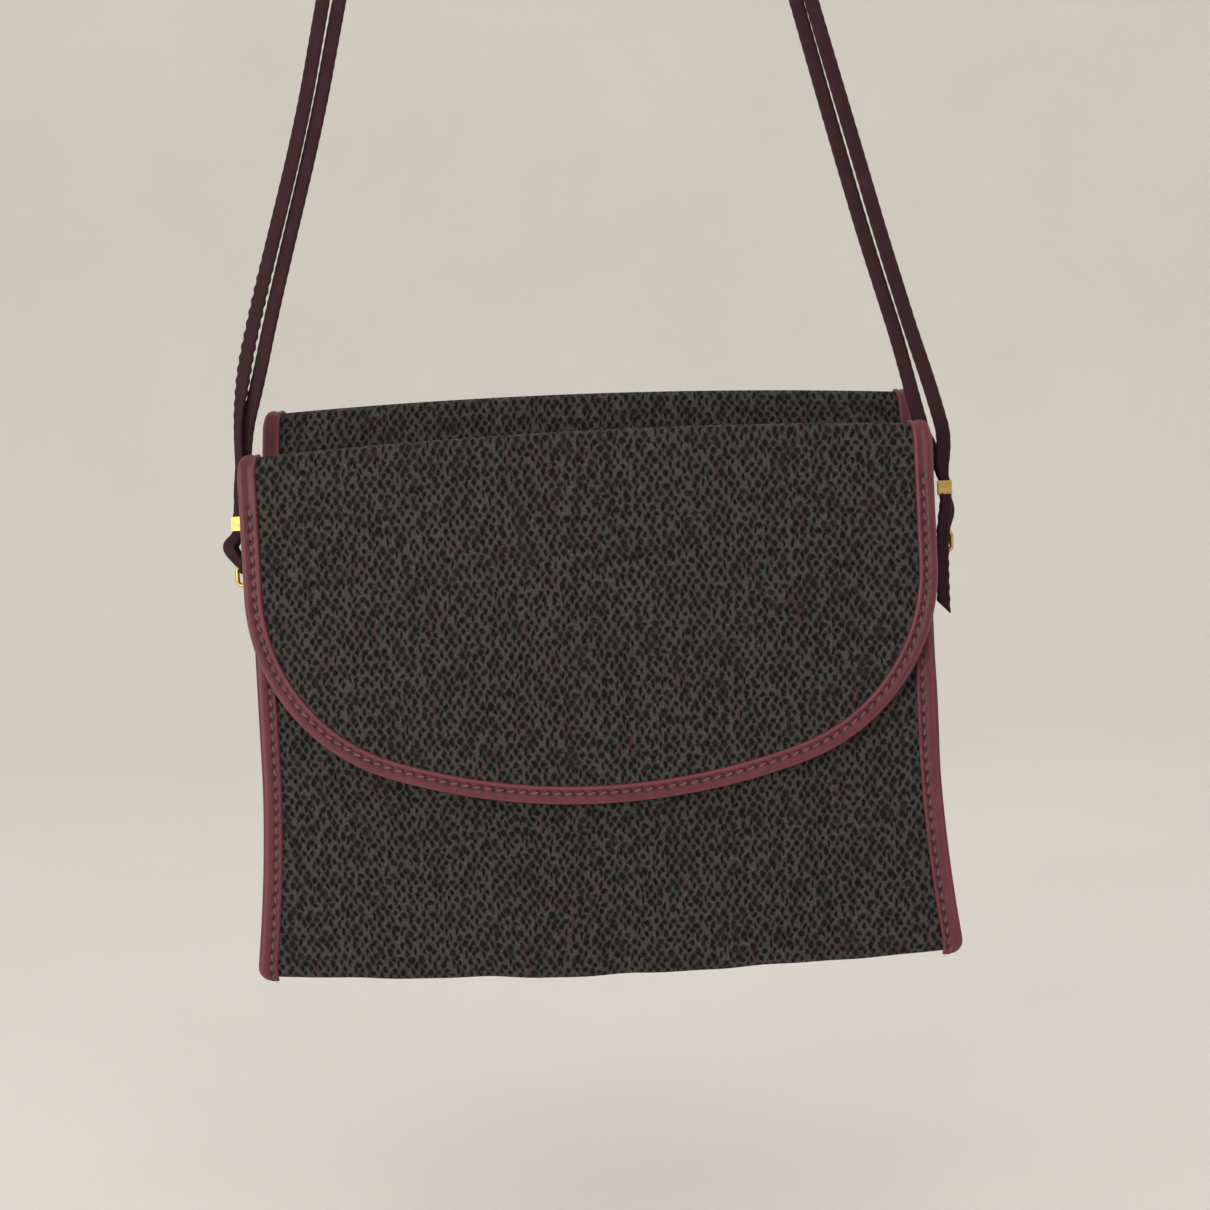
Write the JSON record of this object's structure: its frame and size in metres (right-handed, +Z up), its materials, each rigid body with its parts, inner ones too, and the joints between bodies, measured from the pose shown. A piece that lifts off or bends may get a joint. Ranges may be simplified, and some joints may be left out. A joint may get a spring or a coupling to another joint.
{
  "type": "flap shoulder bag",
  "caption": "Small structured flap shoulder bag in woven canvas with leather bound edges, a D-shaped flap and a thin doubled leather strap, shown hanging.",
  "frame": {"origin": "on the underside of the strap at its highest point, where it lies over a hook", "axes": "+Z up, +X to the right seen from the front, the flap faces -Y; the bag hangs straight down"},
  "size_m": [0.2842, 0.0608, 0.721],
  "materials": {
    "woven_canvas": "coarse woven, dark grey green with burgundy flecks",
    "burgundy_leather": "smooth, satin",
    "strap_leather": "smooth, satin, darker than the binding",
    "lining_fabric": "fine twill",
    "gold_metal": "polished",
    "base_board": "matte"
  },
  "bodies": {
    "strap": {"strap_strand_front": "strap_leather", "strap_strand_rear": "strap_leather", "strap_loop_left": "strap_leather", "strap_loop_right": "strap_leather", "strap_tail": "strap_leather", "keeper_left": "gold_metal", "keeper_right": "gold_metal"},
    "bag": {"front_panel": "woven_canvas", "back_panel": "woven_canvas", "base_panel": "woven_canvas", "gusset_left": "woven_canvas", "gusset_right": "woven_canvas", "front_lining": "lining_fabric", "back_lining": "lining_fabric", "base_lining": "lining_fabric", "gusset_lining_left": "lining_fabric", "gusset_lining_right": "lining_fabric", "base_board": "base_board", "front_binding_left": "burgundy_leather", "front_binding_right": "burgundy_leather", "back_binding_left": "burgundy_leather", "back_binding_right": "burgundy_leather", "mouth_binding": "burgundy_leather", "tab_left": "burgundy_leather", "tab_right": "burgundy_leather", "tab_rivets": "burgundy_leather", "snap_socket": "gold_metal", "pocket_panel": "lining_fabric", "zip_tape": "lining_fabric", "zip_teeth": "gold_metal", "flap_fold_rear": "woven_canvas", "fold_binding_rear": "burgundy_leather"},
    "flap_upper": {"flap_top": "woven_canvas", "flap_top_lining": "lining_fabric", "flap_top_binding": "burgundy_leather", "flap_fold_front": "woven_canvas", "fold_binding_front": "burgundy_leather"},
    "flap_lower": {"flap_front": "woven_canvas", "flap_lining": "lining_fabric", "flap_binding": "burgundy_leather", "snap_stud": "gold_metal"},
    "ring_left": {"ring_left": "gold_metal"},
    "ring_right": {"ring_right": "gold_metal"},
    "zip_slider": {"zip_slider": "gold_metal"},
    "zip_pull": {"zip_pull": "gold_metal"}
  },
  "joints": [
    {"name": "bag_swing", "type": "hinge", "parent": "strap", "child": "bag", "pos_m": [0, 0, -0.55665], "axis": [1, 0, 0], "range_deg": [-90, 90], "deforming": ["strap_strand_front", "strap_strand_rear", "strap_loop_left", "strap_loop_right", "strap_tail"]},
    {"name": "flap_fold_back", "type": "hinge", "parent": "bag", "child": "flap_upper", "pos_m": [0, 0.0234, -0.5026], "axis": [-1, 0, 0], "range_deg": [0, 225], "deforming": ["flap_fold_rear", "fold_binding_rear"]},
    {"name": "flap_lift", "type": "hinge", "parent": "flap_upper", "child": "flap_lower", "pos_m": [0, -0.0278, -0.52], "axis": [-1, 0, 0], "range_deg": [0, 110], "deforming": ["flap_fold_front", "fold_binding_front"]},
    {"name": "ring_left_turn", "type": "hinge", "parent": "bag", "child": "ring_left", "pos_m": [-0.1316, 0, -0.56045], "axis": [0, 0, 1], "range_deg": [-20, 20]},
    {"name": "ring_right_turn", "type": "hinge", "parent": "bag", "child": "ring_right", "pos_m": [0.1316, 0, -0.56045], "axis": [0, 0, 1], "range_deg": [-20, 20]},
    {"name": "zip_slide", "type": "slide", "parent": "bag", "child": "zip_slider", "axis": [-1, 0, 0], "range_m": [0, 0.148]},
    {"name": "pull_swing", "type": "hinge", "parent": "zip_slider", "child": "zip_pull", "pos_m": [0.074, 0.0192, -0.578], "axis": [-1, 0, 0], "range_deg": [0, 150]}
  ]
}
